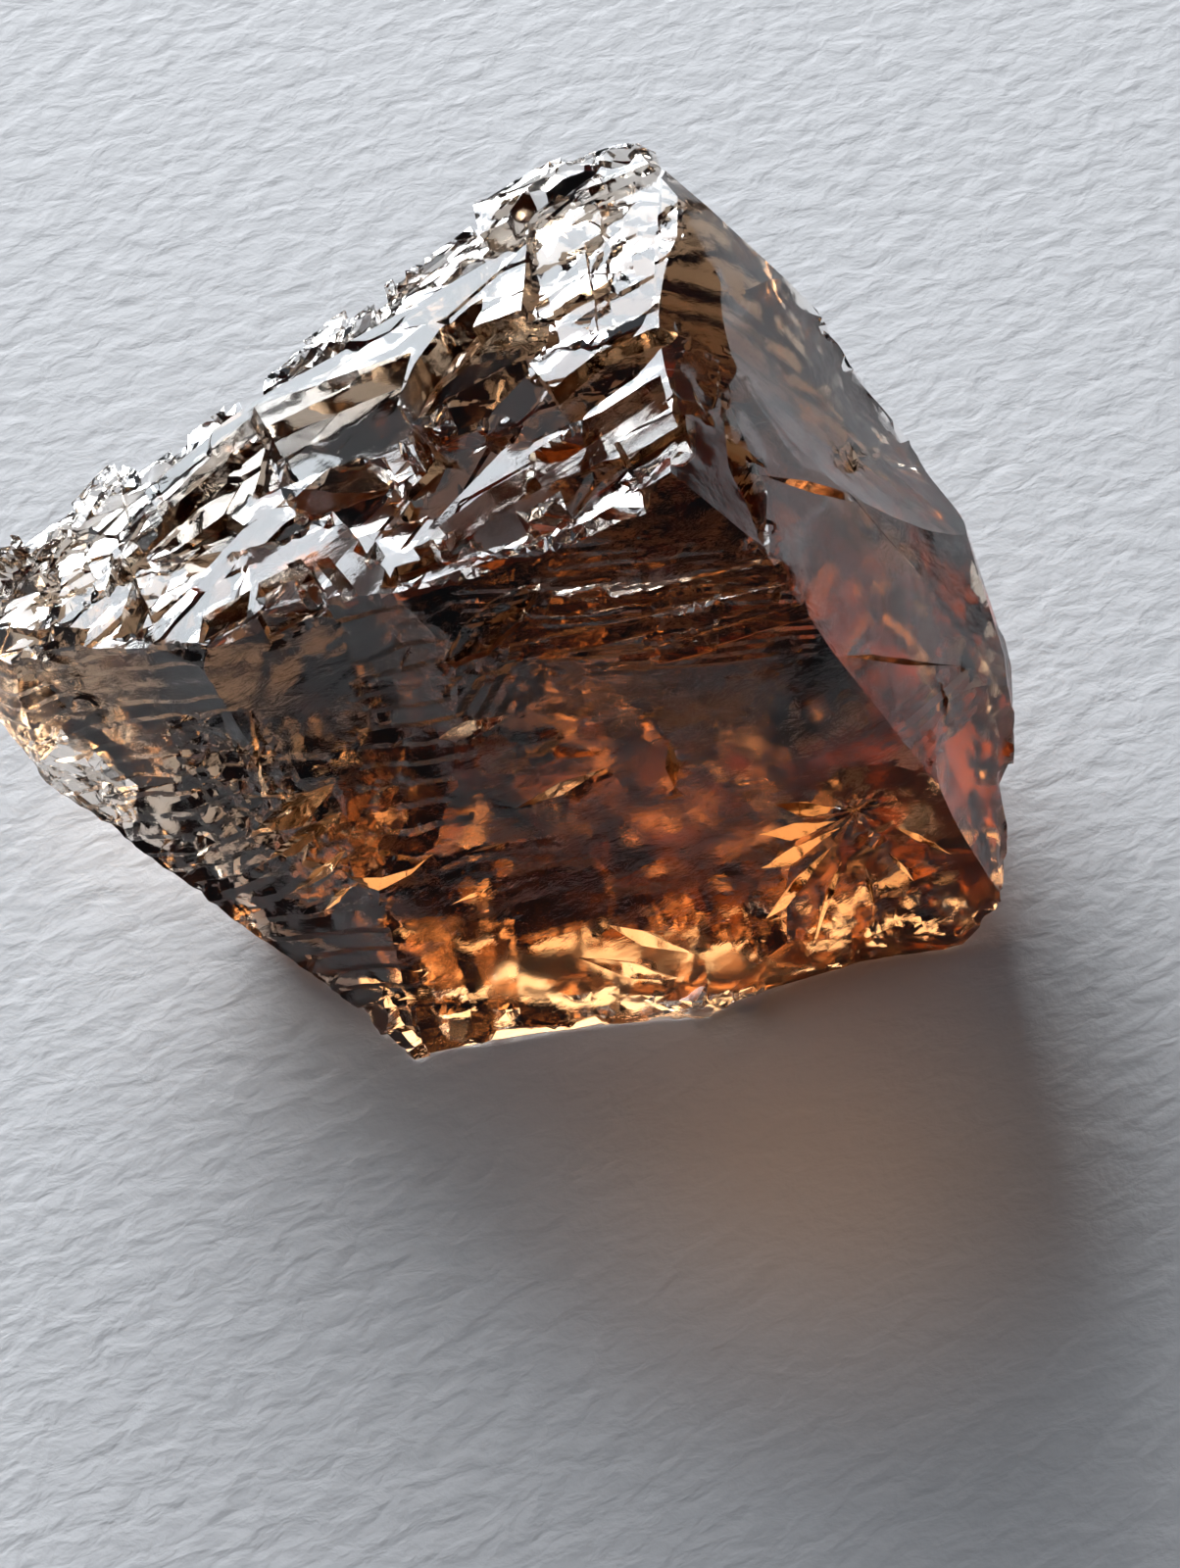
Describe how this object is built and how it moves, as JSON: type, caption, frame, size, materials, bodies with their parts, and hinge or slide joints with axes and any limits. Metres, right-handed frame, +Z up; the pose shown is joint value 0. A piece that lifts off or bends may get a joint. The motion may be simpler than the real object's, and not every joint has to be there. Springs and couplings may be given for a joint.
{
  "type": "raw crystal",
  "caption": "Rough broken gem crystal of clear brown mineral with a cleaved, stepped top and shell-like breaks on its sides, a loose stone that lies on a flat break.",
  "frame": {"origin": "centre of the bounding box on the plane that the stone rests on", "axes": "+X along the crystal towards its thick end, +Y across it towards its back, +Z up from the flat break it rests on"},
  "size_m": [0.0288, 0.0216, 0.014],
  "materials": {
    "crystal": "clear amber-brown crystal with glassy, rippled breaks and a mirror-bright cleaved top"
  },
  "bodies": {
    "root": {"tanzanite_crystal": "crystal"}
  },
  "joints": []
}
